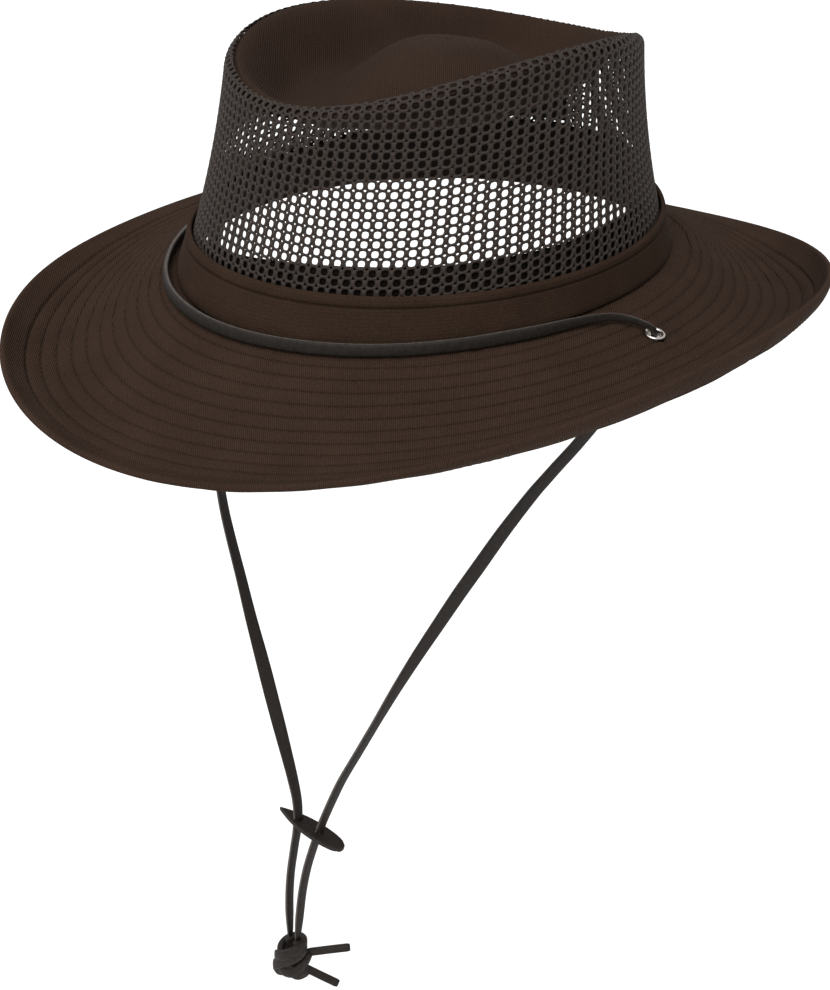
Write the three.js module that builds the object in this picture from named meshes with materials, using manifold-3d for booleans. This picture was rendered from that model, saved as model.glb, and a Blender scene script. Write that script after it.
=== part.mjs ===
// A safari hat with a see-through mesh crown, a quilted brim rolled up at both sides and a leather
// chin lace. The origin is the middle of the head opening, where the crown meets the brim.
// The front of the hat points along -Y, the wearer's left is +X, and +Z is up. Sizes are in mm.
import * as THREE from 'three';
import { mergeVertices } from 'three/addons/utils/BufferGeometryUtils.js';
import Module from 'manifold-3d';

const wasm = await Module();
wasm.setup();

// Driving sizes of the cloth
// The oval of the head opening is measured outside the hat band, at the crown's foot.
const headHalfWidth = 86;
const headHalfLength = 102.5;
const footSaddle = 1.4;
const gap = 0.3;
const wallLift = 0.9;
const bandLift = 0.6;
const sweatLift = 1.3;
const meshThickness = 1.2;
const clothThickness = 1.5;
const bandThickness = 1.5;
const bandGap = 0.5;
const sweatThickness = 1.2;
const brimThickness = 2.4;
const bandHeight = 16.3;
const brimLedge = 2.8;
const shortestEase = 2.5;
const curlPower = 2.9;
const stationsRound = 64;

// Brim sections round the hat. Slopes are in degrees up from level, root beside the crown and edge
// at the rim of the brim. Width is the length of cloth from crown to edge, and ease is the length
// over which the cloth turns from level into the root slope.
const brimSections = [
  { at: 'front', root: -34, edge: 24, width: 72, ease: 3 },
  { at: 'front left', root: -27.5, edge: 60, width: 68, ease: 3 },
  { at: 'left', root: -17.5, edge: 82, width: 70, ease: 6 },
  { at: 'back left', root: -33, edge: 58, width: 57, ease: 15 },
  { at: 'back', root: -23, edge: -26, width: 58, ease: 22 },
  { at: 'back right', root: -22, edge: 4, width: 67.5, ease: 20 },
  { at: 'right', root: -27.5, edge: 12.5, width: 60, ease: 14.5 },
  { at: 'front right', root: -37, edge: 55, width: 69, ease: 3.5 },
];
const brimRows = [0.08, 0.2, 0.34, 0.48, 0.62, 0.76, 0.88, 1];

// Crest of the crown at the same stations, the height of the channel inside it, and the height of
// the sweatband's top edge
const crownSections = [
  { at: 'front', x: 6, y: -80.5, z: 73.5, channel: 64, sweat: 23.5 },
  { at: 'front left', x: 53.5, y: -53, z: 85, channel: 65, sweat: 25.3 },
  { at: 'left', x: 68, y: 10, z: 87, channel: 66, sweat: 26.3 },
  { at: 'back left', x: 39.5, y: 72, z: 72.5, channel: 60, sweat: 25.3 },
  { at: 'back', x: 1, y: 97, z: 66, channel: 57, sweat: 25.3 },
  { at: 'back right', x: -36, y: 70, z: 74, channel: 60, sweat: 24.5 },
  { at: 'right', x: -60.5, y: 6.5, z: 82.5, channel: 62, sweat: 21 },
  { at: 'front right', x: -43, y: -56, z: 77.5, channel: 61, sweat: 17.5 },
];

// Ridge of the raised middle of the crown, from front to back
const ridgeSections = [
  { y: -70, z: 66 },
  { y: -50, z: 73 },
  { y: -25, z: 77.5 },
  { y: 10, z: 78 },
  { y: 40, z: 71 },
  { y: 63, z: 63 },
  { y: 85, z: 57 },
];
const ridgeRounding = 260;
const crownMiddle = { x: 3, y: 8 };
const crestRadius = 4.5;
const channelInset = 19;
const channelRise = 0.75;
const wallHollow = 2;

// Steps of crownPoint: 0 is the foot of the wall, and these come after it
const wallTop = 1;
const crest = 2;
const channelFloor = 3;
const middle = 4;
const seamRow = 2.2;
const seamMiddle = 1.84;
const seamSwing = 0.18;
const seamTurn = 56;
const clothEdgeOutside = 1.13;
const meshRows = [0, 0.2, 0.45, 0.72, wallTop, clothEdgeOutside, 1.4, 1.8, seamRow];
const topRows = [clothEdgeOutside, 1.4, 1.8, seamRow, 2.35, 2.6, channelFloor, 3.25, 3.5, 3.78];

// Eyelets, the patch inside the crown, and what hangs on the lace
const eyeletSpots = { left: { angle: -9.5, out: 21 }, right: { angle: 181, out: 15 } };
const eyelet = { outer: 3.8, barrel: 3.1, hole: 2.5, lip: 0.8, clearance: 0.6 };
const patch = { from: 90, to: 140, bottom: 26.9, top: 43, thickness: 1, columns: 10 };
const slider = { length: 35, width: 11, thickness: 2.4, tilt: 13, x: -46.5, y: -20, z: -268.2 };
const sliderHoles = [{ along: -7.5 }, { along: 3.9 }];
const sliderHole = { long: 3.3, short: 2.5 };
const knot = { x: -58.5, y: -20.6 };
const knotSections = [
  { radius: 5.2, z: -333 },
  { radius: 6.6, z: -337 },
  { radius: 6.8, z: -343 },
  { radius: 6, z: -348.5 },
  { radius: 3, z: -353.5 },
];

// The lace on the brim, from an eyelet to the front. Turn is in degrees from the eyelet, out is the
// share of the way from the front course out to the eyelet, and lift is above the cloth.
const laceRadius = 1.8;
const laceSides = 8;
const laceEnd = [
  { turn: 0, out: 1, lift: -0.9 },
  { turn: 0, out: 1, lift: 2.4 },
  { turn: 0.5, out: 0.87, lift: 4.3 },
  { turn: 1.4, out: 0.64, lift: 3.7 },
  { turn: 2.8, out: 0.42, lift: 2.8 },
  { turn: 5.5, out: 0.24, lift: 2.5 },
  { turn: 10, out: 0.13, lift: 2.5 },
  { turn: 17, out: 0.07, lift: 2.5 },
  { turn: 26, out: 0.02, lift: 2.5 },
];
const laceFront = { out: 3, lift: 2.5, from: 35, points: 11 };
const strandDepths = [1.6, 5];

// The hanging strands below the eyelets, with points picked by hand along their middle
const rightRoute = [
  [-99.7, -3, -12], [-98.8, -5, -18.5], [-97.3, -7.9, -26.5], [-95.7, -10.8, -37],
  [-94.4, -12.6, -50], [-94.2, -13.4, -66], [-95.5, -13.2, -82], [-96, -13, -98],
  [-95.7, -13, -113], [-93.5, -13.4, -127], [-90, -14, -140], [-84.5, -15, -157], [-79, -16, -175],
  [-73, -17, -193], [-67, -18.2, -211], [-61, -19.3, -229], [-55.7, -20.2, -246], [-53.5, -20.3, -258],
  [-54, -20.2, -270], [-56.5, -20, -284], [-59, -19.7, -298.5], [-60.2, -19.7, -314],
  [-60, -20, -332.5],
];
const leftRoute = [
  [102.4, -19.4, -12], [99.5, -18.6, -17], [95.5, -17.4, -23], [91, -16.2, -29.5], [85.3, -14.9, -38],
  [79.2, -14.2, -47], [73, -14.2, -56], [67.2, -14.5, -64], [61.5, -14.7, -72], [56, -15, -80],
  [45, -15.5, -97.5], [34.5, -16, -115.5], [26, -16.3, -130], [16.5, -16.7, -147], [6.5, -17, -165],
  [-3.5, -17.5, -184], [-12.5, -18, -202], [-21.5, -18.5, -220], [-30, -19, -237], [-35.5, -19.4, -250],
  [-39.8, -19.7, -261], [-43, -19.8, -270], [-46, -19.8, -279], [-49.5, -19.9, -291],
  [-52.3, -20, -304.5], [-54, -20.3, -318], [-55.5, -20.5, -332.5],
];
const frontTailRoute = [[-52.4, -16.5, -341.2], [-44.5, -11.4, -339.5], [-36.7, -6.3, -338]];
const backTailRoute = [[-53.6, -17.4, -350.5], [-47.5, -13.4, -354.8], [-41.4, -9.5, -359]];

const degrees = Math.PI / 180;
const stationTurn = 45;

// Smooth value of one column of a table whose eight rows lie round the hat, the first at the front
function around(rows, column, angle) {
  const count = rows.length;
  return rows.reduce((sum, row, index) => {
    const turn = (angle + 90 - index * stationTurn) * degrees;
    const onStation = Math.abs(Math.sin(turn / 2)) < 1e-9;
    const weight = onStation ? 1 : Math.sin(count * turn / 2) / (count * Math.tan(turn / 2));
    return sum + row[column] * weight;
  }, 0);
}

// Smooth value of one column of a table along y
function alongRidge(rows, y) {
  const curve = new THREE.SplineCurve(rows.map((row) => new THREE.Vector2(row.y, row.z)));
  let index = rows.findIndex((row) => row.y > y);
  if (index < 0) return rows[rows.length - 1].z;
  index = Math.max(index, 1);
  const before = rows[index - 1];
  const along = Math.max(0, (y - before.y) / (rows[index].y - before.y));
  return curve.getPoint((index - 1 + along) / (rows.length - 1)).y;
}

function ease(x) {
  const t = Math.min(1, Math.max(0, x));
  return t * t * (3 - 2 * t);
}

// Point of the head oval moved outward by a distance, and its height
function footPoint(angle, outward) {
  const t = angle * degrees;
  const x = Math.cos(t) / headHalfWidth;
  const y = Math.sin(t) / headHalfLength;
  const scale = outward / Math.hypot(x, y);
  return new THREE.Vector3(
    headHalfWidth * Math.cos(t) + x * scale,
    headHalfLength * Math.sin(t) + y * scale,
    footSaddle * Math.cos(2 * t),
  );
}

// Point of the brim's top, a length of cloth outward from the crown's foot
function brimPoint(angle, cloth) {
  const root = around(brimSections, 'root', angle);
  const edge = around(brimSections, 'edge', angle);
  const width = around(brimSections, 'width', angle);
  const turning = Math.max(shortestEase, around(brimSections, 'ease', angle));
  const parts = 40;
  const step = Math.max(cloth, 0) / parts;
  let outward = Math.min(cloth, 0);
  let rise = 0;
  for (let part = 0; part < parts; part += 1) {
    const here = (part + 0.5) * step;
    const slope = root + (edge - root) * (here / width) ** curlPower;
    outward += Math.cos(slope * ease(here / turning) * degrees) * step;
    rise += Math.sin(slope * ease(here / turning) * degrees) * step;
  }
  const point = footPoint(angle, outward);
  point.z += rise;
  return point;
}

function brimRowPoint(angle, row) {
  return brimPoint(angle, row > 0 ? row * around(brimSections, 'width', angle) : row * brimLedge);
}

function crestPoint(angle) {
  return new THREE.Vector3(
    around(crownSections, 'x', angle),
    around(crownSections, 'y', angle),
    around(crownSections, 'z', angle),
  );
}

// Point of the crown's outer face. The step runs up the wall, over the crest, down into the channel
// and in to the middle.
function crownPoint(angle, step) {
  const top = crestPoint(angle);
  const outward = new THREE.Vector3(top.x - crownMiddle.x, top.y - crownMiddle.y, 0).normalize();
  if (step <= wallTop) {
    const foot = footPoint(angle, -bandGap - bandThickness);
    foot.z += wallLift;
    const edge = top.clone().addScaledVector(outward, crestRadius);
    edge.z -= crestRadius;
    return foot.lerp(edge, step).addScaledVector(outward, -4 * wallHollow * step * (1 - step));
  }
  if (step <= crest) {
    const turn = (step - wallTop) * Math.PI / 2;
    const round = top.clone().addScaledVector(outward, crestRadius * Math.cos(turn));
    round.z += crestRadius * (Math.sin(turn) - 1);
    return round;
  }
  const channel = around(crownSections, 'channel', angle);
  const floor = top.clone().addScaledVector(outward, -channelInset);
  floor.z = channel;
  if (step <= channelFloor) {
    const part = step - crest;
    const slope = top.clone().addScaledVector(outward, -channelInset * part);
    slope.z = channel + (top.z - channel) * (1 + Math.cos(Math.PI * part)) / 2;
    return slope;
  }
  const part = Math.min(step, middle) - channelFloor;
  const point = floor.lerp(new THREE.Vector3(crownMiddle.x, crownMiddle.y, 0), part);
  const ridge = alongRidge(ridgeSections, point.y) - (point.x - crownMiddle.x) ** 2 / ridgeRounding;
  point.z = channel + (ridge - channel) * ease(part / channelRise);
  return point;
}

// Point of the crown's outer face by rows that meet the seam of net and cloth. The seam runs a
// little further in at the front left than at the back right.
function rimPoint(angle, row) {
  if (row <= wallTop || row > seamRow + 0.05) return crownPoint(angle, row);
  const seam = seamMiddle + seamSwing * Math.cos((angle + seamTurn) * degrees);
  return crownPoint(angle, wallTop + (row - wallTop) * (seam - wallTop) / (seamRow - wallTop));
}

// Point of the crown's wall at a height above the foot
function wallPoint(angle, height) {
  const foot = crownPoint(angle, 0).z;
  const top = crownPoint(angle, wallTop).z;
  return crownPoint(angle, (height - foot) / (top - foot));
}

function bandPoint(angle, part, lift, height) {
  const foot = footSaddle * Math.cos(2 * angle * degrees) + lift;
  return wallPoint(angle, foot + (height - foot) * part);
}

// A surface point moved along the surface's own normal
function offsetPoint(surface, angle, step, distance) {
  const turn = 0.5;
  const move = 0.01;
  const point = surface(angle, step);
  const round = surface(angle + turn, step).sub(surface(angle - turn, step));
  const along = surface(angle, step + move).sub(surface(angle, step - move));
  return point.addScaledVector(round.cross(along).normalize(), distance);
}

// A closed solid from its corners and triangles
function solidGeometry(corners, triangles) {
  const geometry = new THREE.BufferGeometry();
  geometry.setAttribute('position', new THREE.Float32BufferAttribute(corners.flatMap((c) => c.toArray()), 3));
  geometry.setIndex(triangles);
  return geometry;
}

function addQuad(triangles, a, b, c, d) {
  triangles.push(a, b, c, a, c, d);
}

// A wall that runs all the way round the hat. Its outer face lies at a distance from the surface.
function roundWall(surface, rows, distance, thickness) {
  const corners = [];
  for (let station = 0; station < stationsRound; station += 1) {
    const angle = station * 360 / stationsRound;
    rows.forEach((row) => corners.push(offsetPoint(surface, angle, row, distance)));
    rows.toReversed().forEach((row) => {
      corners.push(offsetPoint(surface, angle, row, distance - thickness));
    });
  }
  const section = rows.length * 2;
  const triangles = [];
  for (let station = 0; station < stationsRound; station += 1) {
    const here = station * section;
    const next = ((station + 1) % stationsRound) * section;
    for (let row = 0; row < section; row += 1) {
      const after = (row + 1) % section;
      addQuad(triangles, here + row, next + row, next + after, here + after);
    }
  }
  return solidGeometry(corners, triangles);
}

// A wall that closes over the middle of the hat
function closedWall(surface, rows, distance, thickness) {
  const count = rows.length;
  const corners = [];
  for (let station = 0; station < stationsRound; station += 1) {
    const angle = station * 360 / stationsRound;
    rows.forEach((row) => corners.push(offsetPoint(surface, angle, row, distance)));
    rows.forEach((row) => corners.push(offsetPoint(surface, angle, row, distance - thickness)));
  }
  const centre = surface(0, middle);
  const over = corners.push(new THREE.Vector3(centre.x, centre.y, centre.z + distance)) - 1;
  const under = corners.push(new THREE.Vector3(centre.x, centre.y, centre.z + distance - thickness)) - 1;
  const triangles = [];
  for (let station = 0; station < stationsRound; station += 1) {
    const here = station * count * 2;
    const next = ((station + 1) % stationsRound) * count * 2;
    for (let row = 0; row < count - 1; row += 1) {
      addQuad(triangles, here + row, next + row, next + row + 1, here + row + 1);
      const low = count + row;
      addQuad(triangles, here + low, here + low + 1, next + low + 1, next + low);
    }
    addQuad(triangles, here, here + count, next + count, next);
    triangles.push(here + count - 1, next + count - 1, over);
    triangles.push(here + 2 * count - 1, under, next + 2 * count - 1);
  }
  return solidGeometry(corners, triangles);
}

// A panel between two angles and two heights, inside the crown's wall
function panelWall(size, distance) {
  const corners = [];
  const surface = (angle, height) => wallPoint(angle, height);
  for (let column = 0; column <= size.columns; column += 1) {
    const angle = size.from + (size.to - size.from) * column / size.columns;
    corners.push(offsetPoint(surface, angle, size.bottom, distance));
    corners.push(offsetPoint(surface, angle, size.top, distance));
    corners.push(offsetPoint(surface, angle, size.top, distance - size.thickness));
    corners.push(offsetPoint(surface, angle, size.bottom, distance - size.thickness));
  }
  const triangles = [];
  for (let column = 0; column < size.columns; column += 1) {
    for (let side = 0; side < 4; side += 1) {
      const after = (side + 1) % 4;
      addQuad(triangles, column * 4 + side, column * 4 + 4 + side, column * 4 + 4 + after, column * 4 + after);
    }
  }
  const last = size.columns * 4;
  addQuad(triangles, 0, 1, 2, 3);
  addQuad(triangles, last + 3, last + 2, last + 1, last);
  return solidGeometry(corners, triangles);
}

function toManifold(geometry) {
  const bare = geometry.clone();
  bare.deleteAttribute('normal');
  bare.deleteAttribute('uv');
  const merged = mergeVertices(bare, 1e-4);
  return new wasm.Manifold(new wasm.Mesh({
    numProp: 3,
    vertProperties: new Float32Array(merged.attributes.position.array),
    triVerts: new Uint32Array(merged.index.array),
  }));
}

function fromManifold(manifold) {
  const mesh = manifold.getMesh();
  const geometry = new THREE.BufferGeometry();
  geometry.setAttribute('position', new THREE.BufferAttribute(new Float32Array(mesh.vertProperties), 3));
  geometry.setIndex(new THREE.BufferAttribute(new Uint32Array(mesh.triVerts), 1));
  return geometry;
}

// Where an eyelet sits, and the direction out of the brim there
function eyeletPlace(spot) {
  const centre = brimPoint(spot.angle, spot.out);
  const above = offsetPoint(brimPoint, spot.angle, spot.out, -1);
  return { centre, axis: above.sub(centre).normalize() };
}

function turnToAxis(geometry, place) {
  const turn = new THREE.Quaternion().setFromUnitVectors(new THREE.Vector3(0, 1, 0), place.axis);
  return geometry.applyQuaternion(turn).translate(place.centre.x, place.centre.y, place.centre.z);
}

function brimGeometry() {
  const rows = [-1, -0.35, 0, ...brimRows];
  const upward = (angle, row) => brimRowPoint(angle, row);
  let cloth = toManifold(roundWall(upward, rows.toReversed(), 0, -brimThickness));
  Object.values(eyeletSpots).forEach((spot) => {
    const bore = new THREE.CylinderGeometry(eyelet.barrel + gap, eyelet.barrel + gap, 12, 24);
    cloth = cloth.subtract(toManifold(turnToAxis(bore, eyeletPlace(spot))));
  });
  return fromManifold(cloth);
}

function eyeletGeometry(spot) {
  const top = eyelet.clearance;
  const bottom = -brimThickness - eyelet.clearance;
  const profile = [
    [eyelet.hole, bottom - eyelet.lip],
    [eyelet.outer, bottom - eyelet.lip],
    [eyelet.outer, bottom],
    [eyelet.barrel, bottom],
    [eyelet.barrel, top],
    [eyelet.outer, top],
    [eyelet.outer, top + eyelet.lip],
    [eyelet.hole, top + eyelet.lip],
    [eyelet.hole, bottom - eyelet.lip],
  ].map(([radius, height]) => new THREE.Vector2(radius, height));
  return turnToAxis(new THREE.LatheGeometry(profile, 20), eyeletPlace(spot));
}

// Route of the lace on the brim, from the right eyelet round the front to the left one
function laceOnBrim() {
  const { left, right } = eyeletSpots;
  const last = left.angle + 360;
  const from = right.angle + laceFront.from;
  const step = (last - laceFront.from - from) / (laceFront.points - 1);
  const outTo = (spot, share) => laceFront.out + share * (spot.out - laceFront.out);
  const front = Array.from({ length: laceFront.points }, (_, index) => ({
    angle: from + index * step, out: laceFront.out, lift: laceFront.lift,
  }));
  const rows = [
    ...laceEnd.map((row) => ({ angle: right.angle + row.turn, out: outTo(right, row.out), lift: row.lift })),
    ...front,
    ...laceEnd.toReversed().map((row) => ({
      angle: last - row.turn, out: outTo(left, row.out), lift: row.lift,
    })),
  ];
  return rows.map((row) => offsetPoint(brimPoint, row.angle, row.out, -row.lift));
}

// First points of a strand, in its eyelet and just below it
function strandStart(spot) {
  return strandDepths.map((depth) => offsetPoint(brimPoint, spot.angle, spot.out, depth));
}

// A smooth route whose tube has a section at each of its own points
class RouteCurve extends THREE.CatmullRomCurve3 {
  getUtoTmapping(along) {
    return along;
  }
}

function laceGeometry(route) {
  const section = new THREE.Shape();
  for (let side = 0; side < laceSides; side += 1) {
    const turn = side * 2 * Math.PI / laceSides;
    const x = laceRadius * Math.cos(turn);
    const y = laceRadius * Math.sin(turn);
    if (side === 0) section.moveTo(x, y);
    else section.lineTo(x, y);
  }
  section.closePath();
  const extrudePath = new RouteCurve(route.map((point) => new THREE.Vector3(...point)));
  return new THREE.ExtrudeGeometry(section, { steps: route.length - 1, extrudePath, curveSegments: 1 });
}

function sliderGeometry() {
  const half = slider.length / 2;
  const side = slider.width / 2;
  const leaf = new THREE.Shape();
  leaf.moveTo(-half, 0);
  leaf.quadraticCurveTo(-half * 0.4, -side, half * 0.15, -side);
  leaf.quadraticCurveTo(half * 0.8, -side, half, -side * 0.45);
  leaf.lineTo(half, side * 0.45);
  leaf.quadraticCurveTo(half * 0.8, side, half * 0.15, side);
  leaf.quadraticCurveTo(-half * 0.4, side, -half, 0);
  leaf.holes = sliderHoles.map((hole) => {
    const edge = new THREE.Path();
    edge.absellipse(hole.along, 0, sliderHole.long, sliderHole.short, 0, 2 * Math.PI, true);
    return edge;
  });
  const options = { depth: slider.thickness, bevelEnabled: false, curveSegments: 8 };
  return new THREE.ExtrudeGeometry(leaf, options).translate(0, 0, -slider.thickness / 2);
}

function knotGeometry() {
  const top = knotSections[0];
  const bottom = knotSections[knotSections.length - 1];
  const profile = [
    new THREE.Vector2(0, bottom.z),
    ...knotSections.toReversed().map((section) => new THREE.Vector2(section.radius, section.z)),
    new THREE.Vector2(0, top.z),
  ];
  return new THREE.LatheGeometry(profile, 16).rotateX(Math.PI / 2);
}

const finishes = {
  cloth: new THREE.MeshStandardMaterial({ color: 0x3a2c24, roughness: 0.9, metalness: 0 }),
  mesh: new THREE.MeshStandardMaterial({ color: 0x4a4340, roughness: 0.8, metalness: 0 }),
  lining: new THREE.MeshStandardMaterial({ color: 0x2a211d, roughness: 0.9, metalness: 0 }),
  leather: new THREE.MeshStandardMaterial({ color: 0x1d1817, roughness: 0.55, metalness: 0 }),
  metal: new THREE.MeshStandardMaterial({ color: 0x8a8078, roughness: 0.35, metalness: 1 }),
};

const hat = new THREE.Group();

function addPiece(name, geometry, finish) {
  const piece = new THREE.Mesh(geometry, finishes[finish]);
  piece.name = name;
  hat.add(piece);
  return piece;
}

const outerBand = (angle, part) => bandPoint(angle, part, bandLift, bandHeight);
const innerBand = (angle, part) => bandPoint(angle, part, sweatLift, around(crownSections, 'sweat', angle));
const insideMesh = -meshThickness - gap;

addPiece('crown_top', closedWall(rimPoint, topRows, insideMesh, clothThickness), 'cloth');
addPiece('crown_mesh', roundWall(rimPoint, meshRows, 0, meshThickness), 'mesh');
addPiece('hat_band', roundWall(outerBand, [0, 1], bandGap + bandThickness, bandThickness), 'cloth');
addPiece('sweatband', roundWall(innerBand, [0, 0.5, 1], insideMesh, sweatThickness), 'lining');
addPiece('inner_patch', panelWall(patch, insideMesh), 'lining');
addPiece('brim', brimGeometry(), 'cloth');
addPiece('eyelet_left', eyeletGeometry(eyeletSpots.left), 'metal');
addPiece('eyelet_right', eyeletGeometry(eyeletSpots.right), 'metal');
addPiece('lace_crown', laceGeometry(laceOnBrim()), 'leather');
addPiece('lace_left', laceGeometry([...strandStart(eyeletSpots.left), ...leftRoute]), 'leather');
addPiece('lace_right', laceGeometry([...strandStart(eyeletSpots.right), ...rightRoute]), 'leather');
addPiece('tail_front', laceGeometry(frontTailRoute), 'leather');
addPiece('tail_back', laceGeometry(backTailRoute), 'leather');

const slidePiece = addPiece('slider', sliderGeometry(), 'leather');
slidePiece.position.set(slider.x, slider.y, slider.z);
slidePiece.rotation.y = slider.tilt * degrees;

const knotPiece = addPiece('knot', knotGeometry(), 'leather');
knotPiece.position.set(knot.x, knot.y, 0);

export default hat;
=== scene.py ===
import math
import bmesh
import bpy
import numpy as np
from mathutils import Matrix, Vector


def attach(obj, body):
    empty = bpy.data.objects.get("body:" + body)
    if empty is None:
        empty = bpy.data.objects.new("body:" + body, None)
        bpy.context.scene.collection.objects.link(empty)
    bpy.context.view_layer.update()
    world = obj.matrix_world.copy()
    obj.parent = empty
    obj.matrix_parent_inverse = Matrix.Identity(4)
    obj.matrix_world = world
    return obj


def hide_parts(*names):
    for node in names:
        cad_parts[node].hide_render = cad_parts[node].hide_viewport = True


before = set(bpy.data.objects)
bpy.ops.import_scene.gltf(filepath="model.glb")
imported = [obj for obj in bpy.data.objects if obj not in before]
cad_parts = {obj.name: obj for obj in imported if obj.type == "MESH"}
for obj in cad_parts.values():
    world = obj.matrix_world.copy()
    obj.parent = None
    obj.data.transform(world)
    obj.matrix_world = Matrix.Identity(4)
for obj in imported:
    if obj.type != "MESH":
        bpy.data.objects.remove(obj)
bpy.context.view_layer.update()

# Sizes and routes are in mm and angles in degrees. MM turns sizes into the scene's metres.
# The front of the hat points along -Y, the wearer's left is +X and +Z is up.
MM = 0.001

# Camera at the photo's angle

CAMERA_TURN = 34.1
CAMERA_HEIGHT = 26.33
CAMERA_ROLL = 0.14
CAMERA_DISTANCE = 777.5
CAMERA_AIM_RIGHT = -4.87
CAMERA_AIM_UP = -101.29
CAMERA_LENS = 71.78
CAMERA_NEAR = 20
CAMERA_FAR = 30000
SENSOR = 36


def make_camera():
    turn = math.radians(CAMERA_TURN)
    height = math.radians(CAMERA_HEIGHT)
    roll = math.radians(CAMERA_ROLL)
    right = Vector((math.cos(turn), math.sin(turn), 0))
    flat = Vector((math.sin(turn), -math.cos(turn), 0))
    back = flat * math.cos(height) + Vector((0, 0, math.sin(height)))
    up = back.cross(right)
    aim = right * CAMERA_AIM_RIGHT + Vector((0, 0, CAMERA_AIM_UP))
    place = (aim + back * CAMERA_DISTANCE) * MM
    rolled_right = right * math.cos(roll) + up * math.sin(roll)
    rolled_up = up * math.cos(roll) - right * math.sin(roll)
    data = bpy.data.cameras.new("camera")
    data.lens = CAMERA_LENS
    data.sensor_width = SENSOR
    data.clip_start = CAMERA_NEAR * MM
    data.clip_end = CAMERA_FAR * MM
    camera = bpy.data.objects.new("camera", data)
    camera.matrix_world = Matrix((
        (rolled_right.x, rolled_up.x, back.x, place.x),
        (rolled_right.y, rolled_up.y, back.y, place.y),
        (rolled_right.z, rolled_up.z, back.z, place.z),
        (0, 0, 0, 1),
    ))
    bpy.context.scene.collection.objects.link(camera)
    bpy.context.scene.camera = camera


make_camera()


# Meshes from arrays

def new_mesh(name, corners, face_lists, uvs=None, rows=None):
    """Mesh of corners in mm. Each array in face_lists has faces of one number of sides."""
    corners = np.asarray(corners, float).reshape(-1, 3) * MM
    face_lists = [np.asarray(faces, int) for faces in face_lists]
    loops = np.concatenate([faces.ravel() for faces in face_lists])
    totals = np.concatenate([np.full(len(faces), faces.shape[1]) for faces in face_lists])
    mesh = bpy.data.meshes.new(name)
    mesh.vertices.add(len(corners))
    mesh.vertices.foreach_set("co", corners.ravel())
    mesh.loops.add(len(loops))
    mesh.loops.foreach_set("vertex_index", loops)
    mesh.polygons.add(len(totals))
    mesh.polygons.foreach_set("loop_start", np.cumsum(totals) - totals)
    mesh.polygons.foreach_set("loop_total", totals)
    mesh.polygons.foreach_set("use_smooth", np.ones(len(totals), bool))
    for layer_name, values in (("cloth", uvs), ("rows", rows)):
        if values is not None:
            layer = mesh.uv_layers.new(name=layer_name)
            layer.data.foreach_set("uv", np.asarray(values, float).reshape(-1, 2)[loops].ravel())
    mesh.update(calc_edges=True)
    mesh.validate()
    return mesh


def new_piece(name, mesh, look, node=None):
    piece = bpy.data.objects.new(name, mesh)
    bpy.context.scene.collection.objects.link(piece)
    mesh.materials.append(look.material)
    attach(piece, "root")
    if node:
        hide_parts(node)
    return piece


def grid_faces(count_a, count_b, closed_a, closed_b):
    steps_a = np.arange(count_a if closed_a else count_a - 1)
    steps_b = np.arange(count_b if closed_b else count_b - 1)
    a, b = np.meshgrid(steps_a, steps_b, indexing="ij")
    next_a = (a + 1) % count_a
    next_b = (b + 1) % count_b
    quads = np.stack([
        a * count_b + b, next_a * count_b + b, next_a * count_b + next_b, a * count_b + next_b,
    ], axis=-1)
    return quads.reshape(-1, 4)


def fan_faces(tip, ring, after):
    return np.stack([np.full(len(ring), tip), ring, after], axis=1)


def joined(forms):
    """One form of several. A form is its corners, then one or more arrays of faces."""
    corners, *face_lists = zip(*forms)
    bases = np.cumsum([0] + [len(part) for part in corners[:-1]])
    return np.vstack(corners), [
        np.vstack([faces + base for faces, base in zip(same_sides, bases)]) for same_sides in face_lists
    ]


# Curves and lengths

def ease(x):
    t = np.clip(x, 0, 1)
    return t * t * (3 - 2 * t)


def bell(x, width):
    return np.exp(-(x / width) ** 2)


def squared(wave, power):
    """Sine or cosine that makes a circle squarer as power goes below 1."""
    return np.sign(wave) * np.abs(wave) ** power


def unit(v):
    return v / np.maximum(np.linalg.norm(v, axis=-1, keepdims=True), 1e-12)


def cubic(before, start, end, after, t):
    """Smooth curve from start at t = 0 to end at t = 1, steered by the points before and after."""
    slope_start = (end - before) / 2
    slope_end = (after - start) / 2
    third = 2 * start - 2 * end + slope_start + slope_end
    second = 3 * end - 3 * start - 2 * slope_start - slope_end
    return third * t ** 3 + second * t ** 2 + slope_start * t + start


def smooth_path(points, parts=6):
    points = np.array(points, float)
    padded = np.vstack([2 * points[0] - points[1], points, 2 * points[-1] - points[-2]])
    t = np.linspace(0, 1, parts, endpoint=False)[:, None]
    spans = [cubic(*padded[index:index + 4], t) for index in range(len(points) - 1)]
    return np.vstack([*spans, points[-1:]])


def running_length(path):
    """Length up to each point of a path. The points follow each other along the last axis but one."""
    spans = np.linalg.norm(np.diff(path, axis=-2), axis=-1)
    return np.concatenate([np.zeros((*spans.shape[:-1], 1)), spans.cumsum(axis=-1)], axis=-1)


def full_turn(count, whole=360):
    return np.arange(count) * whole / count


def soft_noise(x, y, seed):
    generator = np.random.default_rng(seed)
    waves = 6
    total = 0
    for _ in range(waves):
        along_x, along_y = generator.uniform(0.6, 1.6, 2) * generator.choice([-1, 1], 2)
        phase = generator.uniform(0, 2 * math.pi)
        total = total + np.sin(along_x * x + along_y * y + phase)
    return total / waves


# The hat's surfaces, with the same sizes as the part's source

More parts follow.
